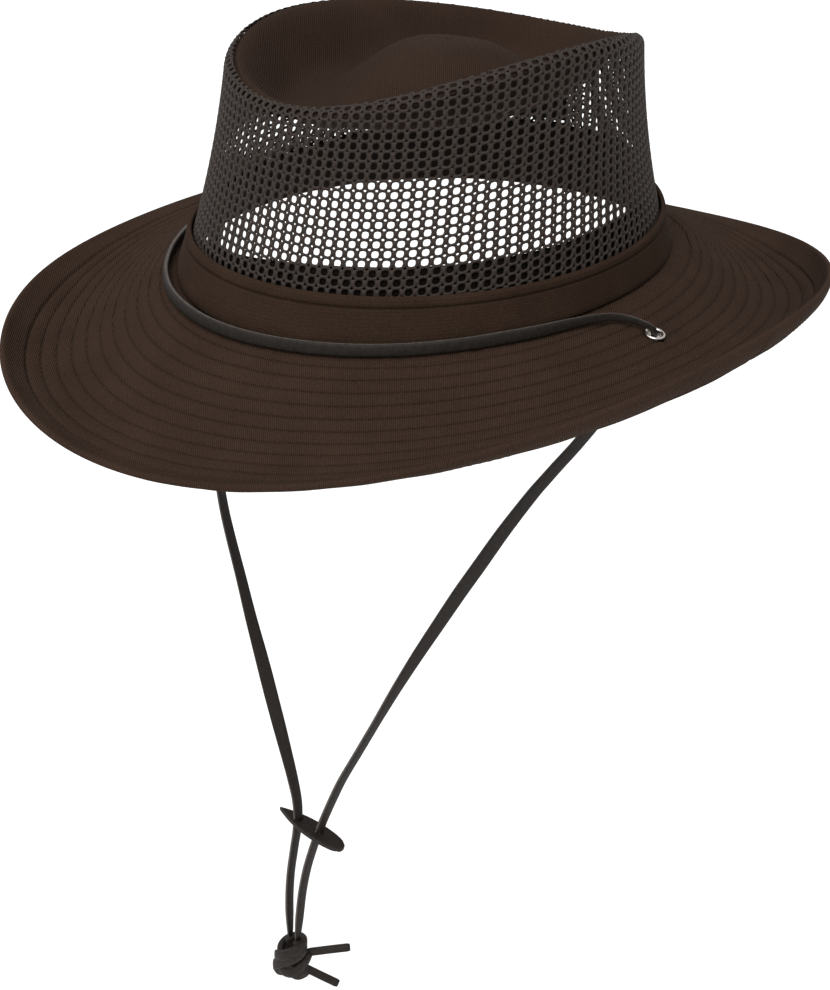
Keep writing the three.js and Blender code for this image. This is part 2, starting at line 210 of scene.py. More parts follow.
HEAD_HALF_WIDTH = 86
HEAD_HALF_LENGTH = 102.5
FOOT_SADDLE = 1.4
WALL_LIFT = 0.9
BAND_LIFT = 0.6
SWEAT_LIFT = 1.3
MESH_THICKNESS = 1.2
GAP = 0.3
CLOTH_THICKNESS = 1.5
BAND_THICKNESS = 1.5
BAND_GAP = 0.5
SWEAT_THICKNESS = 1.2
BRIM_THICKNESS = 2.4
BAND_HEIGHT = 16.3
BRIM_LEDGE = 2.8
SHORTEST_EASE = 2.5
CURL_POWER = 2.9

# Each column starts at the front and has a value for every 45 degrees round the hat
BRIM = {
    "root": (-34, -27.5, -17.5, -33, -23, -22, -27.5, -37),
    "edge": (24, 60, 82, 58, -26, 4, 12.5, 55),
    "width": (72, 68, 70, 57, 58, 67.5, 60, 69),
    "ease": (3, 3, 6, 15, 22, 20, 14.5, 3.5),
}
CROWN = {
    "x": (6, 53.5, 68, 39.5, 1, -36, -60.5, -43),
    "y": (-80.5, -53, 10, 72, 97, 70, 6.5, -56),
    "z": (73.5, 85, 87, 72.5, 66, 74, 82.5, 77.5),
    "channel": (64, 65, 66, 60, 57, 60, 62, 61),
    "sweat": (23.5, 25.3, 26.3, 25.3, 25.3, 24.5, 21, 17.5),
}
# The raised middle of the crown's top, from front to back
RIDGE = {
    "y": (-70, -50, -25, 10, 40, 63, 85),
    "z": (66, 73, 77.5, 78, 71, 63, 57),
}
RIDGE_ROUNDING = 260
MIDDLE_X = 3
MIDDLE_Y = 8
CREST_RADIUS = 4.5
CHANNEL_INSET = 19
CHANNEL_RISE = 0.75
WALL_HOLLOW = 2

# The seam of net and cloth lies at row SEAM_ROW of rim_point, at a step that swings round the crown
SEAM_ROW = 2.2
SEAM_BLEND_END = 2.5
SEAM_MIDDLE = 1.84
SEAM_SWING = 0.18
SEAM_TURN = 56

# Angle round the hat and distance out from the crown's foot
EYELET_SPOTS = {"left": (-9.5, 21), "right": (181, 15)}
EYELET_CLEARANCE = 0.6


def around(column, angle):
    """Smooth value of a column at an angle, by a sum of waves through its eight values."""
    angle = np.asarray(angle, float)
    total = np.zeros(angle.shape)
    for index, value in enumerate(column):
        turn = np.radians(angle + 90 - 45 * index)
        on_station = np.abs(np.sin(turn / 2)) < 1e-9
        half = np.where(on_station, 1.0, np.tan(turn / 2))
        total += value * np.where(on_station, 1.0, np.sin(4 * turn) / (8 * half))
    return total


def foot_point(angle, outward):
    t = np.radians(angle)
    x = np.cos(t) / HEAD_HALF_WIDTH
    y = np.sin(t) / HEAD_HALF_LENGTH
    scale = outward / np.hypot(x, y)
    return np.stack([
        HEAD_HALF_WIDTH * np.cos(t) + x * scale,
        HEAD_HALF_LENGTH * np.sin(t) + y * scale,
        FOOT_SADDLE * np.cos(2 * t) + 0 * scale,
    ], axis=-1)


def brim_width(angle):
    return around(BRIM["width"], angle)


def brim_point(angle, cloth):
    """Point of the brim's upper face, cloth mm from the crown's foot as measured on the cloth."""
    angle, cloth = np.broadcast_arrays(np.asarray(angle, float), np.asarray(cloth, float))
    root = around(BRIM["root"], angle)
    edge = around(BRIM["edge"], angle)
    width = brim_width(angle)
    turning = np.maximum(around(BRIM["ease"], angle), SHORTEST_EASE)
    parts = 40
    step = np.maximum(cloth, 0) / parts
    outward = np.minimum(cloth, 0).copy()
    rise = np.zeros(cloth.shape)
    for part in range(parts):
        here = (part + 0.5) * step
        slope = root + (edge - root) * (here / width) ** CURL_POWER
        tilt = np.radians(slope * ease(here / turning))
        outward += np.cos(tilt) * step
        rise += np.sin(tilt) * step
    point = foot_point(angle, outward)
    point[..., 2] += rise
    return point


def ridge_height(y):
    known_y = np.array(RIDGE["y"], float)
    known_z = np.array(RIDGE["z"], float)
    last = len(known_y) - 1
    index = np.clip(np.searchsorted(known_y, y, side="right") - 1, 0, last - 1)
    t = np.clip((y - known_y[index]) / (known_y[index + 1] - known_y[index]), 0, 1)
    before = known_z[np.maximum(index - 1, 0)]
    after = known_z[np.minimum(index + 2, last)]
    return cubic(before, known_z[index], known_z[index + 1], after, t)


def crown_point(angle, step):
    """Point of the crown's outer face.

    step is 0 at the foot, 1 at the top of the wall, 2 on the crest, 3 in the channel and 4 in the middle.
    """
    angle, step = np.broadcast_arrays(np.asarray(angle, float), np.asarray(step, float))
    top = np.stack([around(CROWN[name], angle) for name in ("x", "y", "z")], axis=-1)
    outward = unit(np.stack([top[..., 0] - MIDDLE_X, top[..., 1] - MIDDLE_Y, 0 * angle], axis=-1))
    up = np.array([0, 0, 1.0])
    channel = around(CROWN["channel"], angle)

    foot = foot_point(angle, -BAND_GAP - BAND_THICKNESS)
    foot[..., 2] += WALL_LIFT
    edge = top + outward * CREST_RADIUS - up * CREST_RADIUS
    low = np.clip(step, -1, 1)[..., None]
    wall = foot + (edge - foot) * low - outward * 4 * WALL_HOLLOW * low * (1 - low)

    turn = ((np.clip(step, 1, 2) - 1) * math.pi / 2)[..., None]
    crest = top + outward * CREST_RADIUS * np.cos(turn) + up * CREST_RADIUS * (np.sin(turn) - 1)

    part = np.clip(step - 2, 0, 1)
    slope = top - outward * CHANNEL_INSET * part[..., None]
    slope[..., 2] = channel + (top[..., 2] - channel) * (1 + np.cos(math.pi * part)) / 2

    part = np.clip(step - 3, 0, 1)
    floor = top - outward * CHANNEL_INSET
    centre = np.array([MIDDLE_X, MIDDLE_Y, 0.0])
    inner = floor + (centre - floor) * part[..., None]
    ridge = ridge_height(inner[..., 1]) - (inner[..., 0] - MIDDLE_X) ** 2 / RIDGE_ROUNDING
    inner[..., 2] = channel + (ridge - channel) * ease(part / CHANNEL_RISE)

    which = step[..., None]
    return np.select([which <= 1, which <= 2, which <= 3], [wall, crest, slope], inner)


def wall_point(angle, height):
    foot = crown_point(angle, np.zeros_like(height))[..., 2]
    top = crown_point(angle, np.ones_like(height))[..., 2]
    return crown_point(angle, (height - foot) / (top - foot))


def band_surface(lift, top):
    """Stretch of the wall from lift above the crown's foot to top, which is a height or a column."""
    def surface(angle, part):
        foot = FOOT_SADDLE * np.cos(2 * np.radians(angle)) + lift
        height = top if np.isscalar(top) else around(top, angle)
        return wall_point(angle, foot + (height - foot) * part)
    return surface


def rim_point(angle, row):
    """Point of the crown's outer face by rows that meet the seam of net and cloth."""
    angle, row = np.broadcast_arrays(np.asarray(angle, float), np.asarray(row, float))
    seam = SEAM_MIDDLE + SEAM_SWING * np.cos(np.radians(angle + SEAM_TURN))
    near = 1 + (row - 1) * (seam - 1) / (SEAM_ROW - 1)
    beyond = seam + (row - SEAM_ROW) * (SEAM_BLEND_END - seam) / (SEAM_BLEND_END - SEAM_ROW)
    step = np.select([row <= 1, row <= SEAM_ROW, row <= SEAM_BLEND_END], [row, near, beyond], row)
    return crown_point(angle, step)


def surface_normal(surface, angle, step, move=0.01, turn=0.5):
    across = surface(angle + turn, step) - surface(angle - turn, step)
    along = surface(angle, step + move) - surface(angle, step - move)
    return unit(np.cross(across, along))


def brim_normal(angle, cloth):
    return -surface_normal(brim_point, angle, cloth, 0.2, 0.3)


def above_brim(angle, cloth, lift):
    angle, cloth, lift = np.broadcast_arrays(*np.atleast_1d(angle, cloth, lift))
    return brim_point(angle, cloth) + brim_normal(angle, cloth) * lift[..., None]


def eyelet_place(side):
    """Middle of an eyelet on the brim's upper face, and the way up out of the brim there."""
    angle, out = EYELET_SPOTS[side]
    return brim_point(angle, out), brim_normal(angle, out)


# Looks

class Look:
    """A material: a principled shader and the nodes that feed it."""

    def __init__(self, name):
        self.material = bpy.data.materials.new(name)
        self.material.use_nodes = True
        self.nodes = self.material.node_tree.nodes
        self.links = self.material.node_tree.links
        self.nodes.clear()
        self.shader = self.node("BsdfPrincipled")
        self.node("OutputMaterial", {"Surface": self.shader.outputs["BSDF"]})

    def gloss(self, roughness, specular, metallic=0.0):
        self.shader.inputs["Roughness"].default_value = roughness
        self.shader.inputs["Specular IOR Level"].default_value = specular
        self.shader.inputs["Metallic"].default_value = metallic

    def node(self, kind, inputs=(), **settings):
        """New node. inputs gives its sockets a number or another node's output."""
        node = self.nodes.new("ShaderNode" + kind)
        for name, value in settings.items():
            setattr(node, name, value)
        for socket, item in dict(inputs).items():
            if isinstance(item, bpy.types.NodeSocket):
                self.links.new(item, node.inputs[socket])
            else:
                node.inputs[socket].default_value = item
        return node

    def math(self, operation, *items):
        return self.node("Math", enumerate(items), operation=operation).outputs[0]

    def noise(self, scale, detail):
        place = self.node("TexCoord").outputs["Object"]
        return self.node("TexNoise", {"Scale": scale, "Detail": detail, "Vector": place}).outputs[0]

    def uv(self, layer):
        place = self.node("UVMap", uv_map=layer).outputs["UV"]
        split = self.node("SeparateXYZ", {0: place})
        return split.outputs["X"], split.outputs["Y"]

    def mapped(self, value, start, end, at_start=0.0, at_end=1.0):
        sizes = {"From Min": start, "From Max": end, "To Min": at_start, "To Max": at_end}
        return self.node("MapRange", {"Value": value, **sizes}).outputs[0]

    def ramp(self, factor, dark, light):
        node = self.node("ValToRGB", {"Fac": factor})
        node.color_ramp.elements[0].color = (*dark, 1)
        node.color_ramp.elements[1].color = (*light, 1)
        return node.outputs["Color"]

    def colour(self, output):
        self.links.new(output, self.shader.inputs["Base Color"])

    def relief(self, height, strength, distance):
        bump = self.node("Bump", {"Strength": strength, "Distance": distance * MM, "Height": height})
        self.links.new(bump.outputs["Normal"], self.shader.inputs["Normal"])


MOTTLE = {"scale": 45, "detail": 4, "weight": 0.35}
GRAIN = {"scale": 1400, "detail": 2, "weight": 0.55}
WEAVE_SHIFT = 0.25
# Painted shade in the stitch grooves: full within the first distance from a whole row of the rows map, gone
# past the second
GROOVE_SHADE_LINE = (0.02, 0.09)


def woven_look(name, dark, light, rib_weight, relief, rib_u=0, rib_v=0, groove_shade_weight=0):
    """Ribbed cloth. With a weight for the rows it is dark where the UV map "rows" has whole numbers, as
    painted shade along the stitch grooves.
    """
    look = Look(name)
    u, v = look.uv("cloth")
    turn = look.math("ADD", look.math("MULTIPLY", u, rib_u), look.math("MULTIPLY", v, rib_v))
    ribs = look.math("MULTIPLY", look.math("ADD", look.math("SINE", turn), 1), 0.5)
    mottle = look.noise(MOTTLE["scale"], MOTTLE["detail"])
    grain = look.noise(GRAIN["scale"], GRAIN["detail"])
    tone = look.math("MULTIPLY", ribs, rib_weight)
    tone = look.math("ADD", tone, look.math("MULTIPLY", grain, GRAIN["weight"]))
    tone = look.math("ADD", tone, look.math("MULTIPLY", mottle, MOTTLE["weight"]))
    tone = look.math("SUBTRACT", tone, WEAVE_SHIFT)
    # Painted shade along the stitch grooves, where the rows map is near a whole number
    if groove_shade_weight:
        row = look.uv("rows")[0]
        away = look.math("ABSOLUTE", look.math("SUBTRACT", row, look.math("ROUND", row)))
        tone = look.math("SUBTRACT", tone, look.mapped(away, *GROOVE_SHADE_LINE, groove_shade_weight, 0.0))
    look.colour(look.ramp(tone, dark, light))
    look.relief(look.math("ADD", ribs, grain), relief, 0.3)
    look.gloss(0.95, 0.05)
    return look


def speckled_look(name, dark, light, scale, roughness, relief, metallic=0.0, specular=0.15):
    look = Look(name)
    speck = look.noise(scale, 4)
    look.colour(look.ramp(speck, dark, light))
    look.relief(speck, relief, 0.2)
    look.gloss(roughness, specular, metallic)
    return look


def strap_look():
    """Dark leather, lighter on the strap's two cut edges, where the UV map's u is 1."""
    look = Look("dark leather")
    speck = look.noise(700, 5)
    face = look.ramp(speck, (0.003, 0.0022, 0.0016), (0.026, 0.0195, 0.016))
    cut = look.ramp(speck, (0.02, 0.016, 0.014), (0.15, 0.13, 0.115))
    on_edge = look.mapped(look.uv("cloth")[0], 0.9, 0.98)
    look.colour(look.node("Mix", {0: on_edge, 6: face, 7: cut}, data_type="RGBA").outputs[2])
    look.relief(speck, 0.35, 0.2)
    look.gloss(0.6, 0.2)
    return look


RIB_TURN = 2 * math.pi / 0.7
TWILL_TURN = 2 * math.pi / 1.1
cloth_look = woven_look(
    "brim cloth", (0.019, 0.0108, 0.007), (0.066, 0.0395, 0.0275), 0.42, 0.8,
    rib_u=RIB_TURN, groove_shade_weight=0.26,
)
crown_look = woven_look(
    "crown cloth", (0.016, 0.009, 0.006), (0.052, 0.032, 0.023), 0.35, 0.5, rib_u=RIB_TURN,
)
band_look = woven_look(
    "band twill", (0.019, 0.0110, 0.007), (0.066, 0.0395, 0.0265), 0.05, 0.12,
    rib_v=TWILL_TURN, groove_shade_weight=0.25,
)
sweat_look = woven_look(
    "sweatband weave", (0.004, 0.003, 0.002), (0.010, 0.007, 0.006), 0.3, 0.3, rib_v=TWILL_TURN,
)
lining_look = speckled_look("lining cloth", (0.003, 0.002, 0.002), (0.007, 0.005, 0.004), 900, 0.95, 0.3)
# The net yarn's speckle is partly the yarn's own mottled tone and partly painted highlights of the yarn's
# shine
net_look = speckled_look("net yarn", (0.004, 0.003, 0.002), (0.062, 0.047, 0.040), 1900, 0.65, 0.6)
thread_look = speckled_look("sewing thread", (0.014, 0.008, 0.006), (0.044, 0.028, 0.020), 1500, 0.9, 0.3)
metal_look = speckled_look(
    "worn nickel", (0.45, 0.42, 0.39), (0.72, 0.68, 0.64), 700, 0.25, 0.1, metallic=1.0, specular=0.5,
)
leather_look = strap_look()


# The lace, one flat strap in three stretches and two free ends

LACE_WIDTH = 4.4
LACE_THICKNESS = 2.0
STRAP_SQUARENESS = 0.6
STRAP_TIP = 0.85
STRAP_CAP = 0.15
# The lace from an eyelet: degrees from it, share of the way out to it, height over the cloth
LACE_END = (
    (0, 1, -0.9), (0.02, 0.99, 1.0), (0.3, 0.92, 2.6), (1.0, 0.75, 3.1), (2.0, 0.52, 3.0), (4, 0.32, 2.9),
    (7.5, 0.18, 2.7), (13, 0.09, 2.6), (20, 0.04, 2.5), (27, 0.01, 2.5),
)
LACE_FRONT = {"out": 2.4, "lift": 2.5, "from": 35, "points": 11}
LACE_LEAN = 0.12
# Depths below the brim's upper face at which a strand runs through its eyelet
STRAND_DEPTHS = (1.6, 5)
# The hanging strands below the eyelets
RIGHT_ROUTE = (
    (-99.7, -3, -12), (-98.8, -5, -18.5), (-97.3, -7.9, -26.5), (-95.7, -10.8, -37),
    (-94.4, -12.6, -50), (-94.2, -13.4, -66), (-95.5, -13.2, -82), (-96, -13, -98),
    (-95.7, -13, -113), (-93.5, -13.4, -127), (-90, -14, -140), (-84.5, -15, -157), (-79, -16, -175),
    (-73, -17, -193), (-67, -18.2, -211), (-61, -19.3, -229), (-55.7, -20.2, -246), (-53.5, -20.3, -258),
    (-54, -20.2, -270), (-56.5, -20, -284), (-59, -19.7, -298.5), (-60.2, -19.7, -314),
    (-60, -20, -332.5),
)
LEFT_ROUTE = (
    (102.4, -19.4, -12), (99.5, -18.6, -17), (95.5, -17.4, -23), (91, -16.2, -29.5), (85.3, -14.9, -38),
    (79.2, -14.2, -47), (73, -14.2, -56), (67.2, -14.5, -64), (61.5, -14.7, -72), (56, -15, -80),
    (45, -15.5, -97.5), (34.5, -16, -115.5), (26, -16.3, -130), (16.5, -16.7, -147), (6.5, -17, -165),
    (-3.5, -17.5, -184), (-12.5, -18, -202), (-21.5, -18.5, -220), (-30, -19, -237), (-35.5, -19.4, -250),
    (-39.8, -19.7, -261), (-43, -19.8, -270), (-46, -19.8, -279), (-49.5, -19.9, -291),
    (-52.3, -20, -304.5), (-54, -20.3, -318), (-55.5, -20.5, -332.5),
)
# Share of a strand's length and the turn of its face there
RIGHT_TWISTS = ((0, 0), (0.35, -50), (0.5, -30), (0.64, 0), (0.76, -40), (1, -50))
LEFT_TWISTS = ((0, 0), (0.3, 5), (0.5, 5), (0.62, -30), (0.74, -30), (1, -45))
HANG_FACE = (0.83, 0.56, 0)
HANG_EDGE = (0.56, -0.83, 0)
# Where along a strand its width swells, how far and by what part
RIGHT_SWELL = (0.62, 0.12, 0.35)
LEFT_SWELL = (0.38, 0.14, 0.3)
FRONT_TAIL = ((-52.9, -16.8, -341.3), (-44.5, -11.4, -339.5), (-36.7, -6.3, -338))
BACK_TAIL = ((-54.6, -18, -349.7), (-47.5, -13.4, -354.8), (-41.4, -9.5, -359))
TAIL_WIDTH = 3.8
TAIL_THICKNESS = 2.6
TAIL_WAY = (-0.35, 0.4, 0.85)


def strap_form(path, wide_way, width, thickness, sides=16, end_part=1.0, taper=1.0, swell=1.0):
    """Corners, quads and triangles of a flat strap with rounded edges along a path, and its UVs.

    wide_way is the direction of its width. Within taper mm of either end it narrows to end_part.
    """
    ahead = unit(np.gradient(path, axis=0))
    wide_way = np.broadcast_to(wide_way, path.shape)
    across = unit(wide_way - ahead * (wide_way * ahead).sum(axis=1, keepdims=True))
    thin = np.cross(ahead, across)
    turn = full_turn(sides, 2 * math.pi)
    wide = squared(np.cos(turn), STRAP_SQUARENESS) * width / 2
    slim = squared(np.sin(turn), STRAP_SQUARENESS) * thickness / 2
    along = running_length(path)
    end = 1 - (1 - end_part) * (1 - ease(np.minimum(along, along[-1] - along) / taper))
    end[[0, -1]] *= STRAP_TIP
    wide_part = np.outer(end * swell, wide)[..., None]
    slim_part = np.outer(end, slim)[..., None]
    rings = path[:, None] + across[:, None] * wide_part + thin[:, None] * slim_part
    tips = np.stack([path[0] - ahead[0] * STRAP_CAP, path[-1] + ahead[-1] * STRAP_CAP])
    corners = np.vstack([rings.reshape(-1, 3), tips])
    quads = grid_faces(len(path), sides, False, True)[:, ::-1]
    ring = np.arange(sides)
    after = (ring + 1) % sides
    first_tip = len(path) * sides
    last = first_tip - sides
    start_fan = fan_faces(first_tip, after, ring)
    end_fan = fan_faces(first_tip + 1, last + ring, last + after)
    uvs = np.zeros((len(corners), 2))
    uvs[:first_tip, 0] = np.tile(np.abs(np.cos(turn)), len(path))
    return corners, quads, np.vstack([start_fan, end_fan]), uvs


def strap_piece(name, node, path, wide_way, width, thickness, **shape):
    corners, quads, triangles, uvs = strap_form(path, wide_way, width, thickness, **shape)
    mesh = new_mesh(name, corners, [quads, triangles], uvs)
    return new_piece(name, mesh, leather_look, node)


def share_along(path):
    along = running_length(path)
    return along / along[-1]


def twisted_way(path, twists):
    """Width direction of a hanging strap."""
    shares, turns = np.array(twists, float).T
    turn = np.radians(np.interp(share_along(path), shares, turns))[:, None]
    return np.array(HANG_FACE) * np.cos(turn) + np.array(HANG_EDGE) * np.sin(turn)


def swelling(path, centre, spread, amount):
    return 1 + amount * bell(share_along(path) - centre, spread)


def lace_end(start, out, way):
    course = LACE_FRONT["out"]
    return [(start + way * turn, course + share * (out - course), lift) for turn, share, lift in LACE_END]


def lace_on_brim():
    first, first_out = EYELET_SPOTS["right"]
    last, last_out = EYELET_SPOTS["left"]
    last += 360
    front = np.linspace(first + LACE_FRONT["from"], last - LACE_FRONT["from"], LACE_FRONT["points"])
    rows = lace_end(first, first_out, 1)
    rows += [(angle, LACE_FRONT["out"], LACE_FRONT["lift"]) for angle in front]
    rows += lace_end(last, last_out, -1)[::-1]
    return above_brim(*np.array(rows, float).T)


def strand_route(side, points):
    angle, out = EYELET_SPOTS[side]
    return np.vstack([above_brim(angle, out, [-depth for depth in STRAND_DEPTHS]), points])


def strand_piece(name, node, path, twists, swell):
    return strap_piece(
        name, node, path, twisted_way(path, twists), LACE_WIDTH, LACE_THICKNESS,
        end_part=0.75, taper=14, swell=swelling(path, *swell),
    )


crown_path = smooth_path(lace_on_brim())
right_path = smooth_path(strand_route("right", RIGHT_ROUTE))
left_path = smooth_path(strand_route("left", LEFT_ROUTE))
upright_way = np.array([0, 0, 1.0]) - unit(crown_path * (1, 1, 0)) * LACE_LEAN
lace_crown = strap_piece(
    "lace_on_brim", "lace_crown", crown_path, upright_way, LACE_WIDTH, LACE_THICKNESS,
    end_part=0.52, taper=60,
)
lace_right = strand_piece("lace_right_strand", "lace_right", right_path, RIGHT_TWISTS, RIGHT_SWELL)
lace_left = strand_piece("lace_left_strand", "lace_left", left_path, LEFT_TWISTS, LEFT_SWELL)
tail_front, tail_back = (
    strap_piece(f"{node}_strap", node, smooth_path(route, 8), TAIL_WAY, TAIL_WIDTH, TAIL_THICKNESS)
    for node, route in (("tail_front", FRONT_TAIL), ("tail_back", BACK_TAIL))
)


# Slider: a leather leaf, pointed at one end and blunt at the other, with a hole for each strand

SLIDER = {"length": 35, "width": 9.6, "thickness": 2.4, "edge": 0.5, "tilt": 13}
SLIDER_PLACE = (-46.5, -20, -268.2)
SLIDER_HOLES = (-7.5, 3.9)
SLIDER_HOLE_LONG = 1.9
SLIDER_HOLE_SHORT = 1.8


def quadratic(start, control, end, parts):
    t = np.linspace(0, 1, parts, endpoint=False)[:, None]
    start, control, end = (np.array(p, float) for p in (start, control, end))
    return start * (1 - t) ** 2 + control * 2 * t * (1 - t) + end * t ** 2


def slider_outline():
    half = SLIDER["length"] / 2
    side = SLIDER["width"] / 2
    belly = (half * 0.15, -side)
    blunt = (half - 1.5, -side * 0.5)
    lower = np.vstack([
        quadratic((-half, 0), (-half * 0.4, -side), belly, 14),
        quadratic(belly, (half * 0.8, -side), blunt, 12),
        quadratic(blunt, (half, -side * 0.4), (half, 0), 5),
        [(half, 0)],
    ])
    return np.vstack([lower, lower[-2:0:-1] * (1, -1)])


def add_loop(curve, points):
    spline = curve.splines.new("POLY")
    spline.points.add(len(points) - 1)
    for target, point in zip(spline.points, points):
        target.co = (point[0] * MM, point[1] * MM, 0, 1)
    spline.use_cyclic_u = True


def slider_piece():
    curve = bpy.data.curves.new("slider outline", "CURVE")
    curve.dimensions = "2D"
    curve.fill_mode = "BOTH"
    curve.extrude = (SLIDER["thickness"] / 2 - SLIDER["edge"]) * MM
    curve.bevel_depth = SLIDER["edge"] * MM
    curve.bevel_resolution = 2
    curve.offset = -SLIDER["edge"] * MM
    add_loop(curve, slider_outline())
    turn = full_turn(24, 2 * math.pi)
    hole = np.stack([SLIDER_HOLE_LONG * np.cos(turn), SLIDER_HOLE_SHORT * np.sin(turn)], axis=1)
    for along in SLIDER_HOLES:
        add_loop(curve, hole + (along, 0))
    holder = bpy.data.objects.new("slider outline", curve)
    bpy.context.scene.collection.objects.link(holder)
    mesh = bpy.data.meshes.new_from_object(holder.evaluated_get(bpy.context.evaluated_depsgraph_get()))
    bpy.data.objects.remove(holder)
    bpy.data.curves.remove(curve)
    mesh.name = "slider"
    welded = bmesh.new()
    welded.from_mesh(mesh)
    bmesh.ops.remove_doubles(welded, verts=welded.verts, dist=1e-6)
    welded.to_mesh(mesh)
    welded.free()
    tilt = Matrix.Rotation(math.radians(SLIDER["tilt"]), 4, "Y")
    mesh.transform(Matrix.Translation(Vector(SLIDER_PLACE) * MM) @ tilt)
    for face in mesh.polygons:
        face.use_smooth = False
    return new_piece("slider_leaf", mesh, leather_look, "slider")


slider = slider_piece()


# Knot: both ends of the lace wound once round and tucked through

KNOT_PLACE = (-58.5, -20.6, -343)
KNOT_FIRST = (
    (-1.5, 0.6, 10), (-1.2, 1.2, 5.5), (-0.8, 1.6, -1), (-1.6, 0.6, -7), (-4.2, -2, -8.2), (-4.9, -4, -4.2),
    (-1.2, -5, -0.4), (3.4, -4, 3.2), (4.9, 0, 5.2), (1.6, 4, 4.6), (-3.2, 4, 1.8), (-4.9, 0.2, -0.6),
    (-2.2, -4.2, -4.4), (2.6, -3.6, -4.8), (4.8, 0.6, -2), (5.4, 3.4, 1.2),
)
KNOT_SECOND = (
    (3, 0.1, 10), (2.4, 0.6, 5.5), (1.6, 0.6, 0), (0.8, 1.2, -6), (-2.4, 2.6, -8.6), (-5, 0.8, -3.8),
    (-4.3, -3.6, 0.6), (0, -5.2, 3.8), (4.2, -3.2, 6.8), (4.2, 1.6, 7.6), (0, 4.4, 6), (-4, 3, 4),
    (-4.4, -1.4, 2.4), (-0.4, -3.6, -1.8), (3.6, -2.4, -6.2), (4.6, 2.6, -7.6),
)
KNOT_POINTS_IN = 2
KNOT_GROWTH = (1.22, 1.22, 1.1)
KNOT_LACE_WIDTH = 5.2
KNOT_LACE_THICKNESS = 3.2


def knot_form(route):
    """One end of the lace through the knot. Its first points, where the strand comes in, stay put."""
    route = np.array(route, float)
    route[KNOT_POINTS_IN:] *= KNOT_GROWTH
    path = smooth_path(route)
    outward = unit(path * (1, 1, 0) + (1e-3, 0, 0))
    wide_way = np.cross(unit(np.gradient(path, axis=0)), outward)
    return strap_form(path + KNOT_PLACE, wide_way, KNOT_LACE_WIDTH, KNOT_LACE_THICKNESS, sides=12)[:3]


def knot_piece():
    mesh = new_mesh("knot_wound", *joined([knot_form(KNOT_FIRST), knot_form(KNOT_SECOND)]))
    return new_piece("knot_wound", mesh, leather_look, "knot")


knot = knot_piece()


def declare_lace(path, side):
    exit_point = eyelet_place(side)[0] * MM
    float(running_length(path)[-1]) * MM


declare_lace(crown_path, "right")
declare_lace(right_path, "right")
declare_lace(left_path, "left")


# Brim

ROW_START = 7.0
EDGE_STRIP = 9.3
ROW_COUNT = 10
RIB_WAY = math.radians(34)
EDGE_THINNING = 1.4
SEAM_ANGLES = (-9.3, 188.3)
SEED_ABOVE = 11
SEED_BELOW = 23
# The mesh's rings: cloth before the first stitch row, parts of a row, and cloth past the last row
RINGS_BEFORE = (-BRIM_LEDGE, -2, -1, 0.3, 1.6, 2.8, 4, 5.1, 6.1)
RINGS_IN_ROW = (0, 0.06, 0.16, 0.32, 0.5, 0.68, 0.84, 0.94)
RINGS_AFTER = (0, 0.5, 1.1, 2, 3.2, 4.6, 6, 7.2)
BRIM_STATIONS = 372
SEAM_STATIONS = (-0.75, -0.5, -0.3, -0.15, 0, 0.15, 0.3, 0.5, 0.75)
# Sizes of the cloth's relief
ROW_PUFF = 0.85
ROW_SINK = 0.58
ROOT_RELIEF = (-0.15, 0.05)
STRIP_LIFT = 0.12
STRIP_STEP = 0.5
ROOT_STEP = 0.35
STEP_WIDTH = 0.12
RUMPLE = 0.22
ROOT_PUCKER = 0.4
QUILT = 0.12
SEAM_DEPTH = 0.7
SEAM_START = 20
SEAM_RADIUS = 120
# The eyelet's hole: corners within HOLE_CUT of its middle go and the next ones move out to HOLE_RADIUS
HOLE_REACH = 9
HOLE_CUT = 1.7
HOLE_RADIUS = 3.3


def row_cloth(width, row):
    return ROW_START + (width - EDGE_STRIP - ROW_START) * row / ROW_COUNT


def row_phase(angle, cloth):
    return (cloth - ROW_START) / (brim_width(angle) - EDGE_STRIP - ROW_START) * ROW_COUNT


def along_ribs(flat):
    """Flat cloth turned so that its ribs run on the bias, across the first coordinate."""
    x, y = flat[..., 0], flat[..., 1]
    return np.stack([
        x * math.cos(RIB_WAY) + y * math.sin(RIB_WAY),
        y * math.cos(RIB_WAY) - x * math.sin(RIB_WAY),
    ], axis=-1)


def flat_cloth(angle, cloth):
    return foot_point(angle, cloth)[..., :2]


def brim_relief(angle, cloth, seed):
    """Height of the cloth over the plain brim, with puffed rows, sunk stitches and soft rumples."""
    phase = row_phase(angle, cloth)
    quilted = (phase > -0.001) & (phase < ROW_COUNT + 0.001)
    to_row = np.abs(phase - np.round(phase))
    puff = ROW_PUFF * np.sqrt(np.clip(np.sin(math.pi * np.minimum(to_row, 0.5)), 0, 1)) - ROW_SINK
    root, root_top = ROOT_RELIEF
    strip = np.where(phase < 0, root + (root_top - root) * np.clip(-phase, 0, 1), STRIP_LIFT)
    relief = np.where(quilted, puff, strip)
    relief = relief - STRIP_STEP * bell(phase - ROW_COUNT, STEP_WIDTH)
    relief = relief - ROOT_STEP * bell(phase, STEP_WIDTH)
    flat = flat_cloth(angle, cloth) * 0.16
    relief = relief + RUMPLE * soft_noise(flat[..., 0], flat[..., 1], seed)
    relief = relief + ROOT_PUCKER * soft_noise(angle * 1.3, cloth * 0.35, seed + 1) * bell(cloth - 4, 5)
    relief = relief + QUILT * soft_noise(angle * 0.9, cloth * 1.1, seed + 2) * quilted
    for seam in SEAM_ANGLES:
        across = np.radians((angle - seam + 180) % 360 - 180) * SEAM_RADIUS
        relief = relief - SEAM_DEPTH * ease((cloth - SEAM_START) / 4) * bell(across, 0.8)
    return relief


def station_angles():
    angles = list(full_turn(BRIM_STATIONS))
    angles += [(seam + shift) % 360 for seam in SEAM_ANGLES for shift in SEAM_STATIONS]
    return np.array(sorted(set(round(a, 4) for a in angles)))


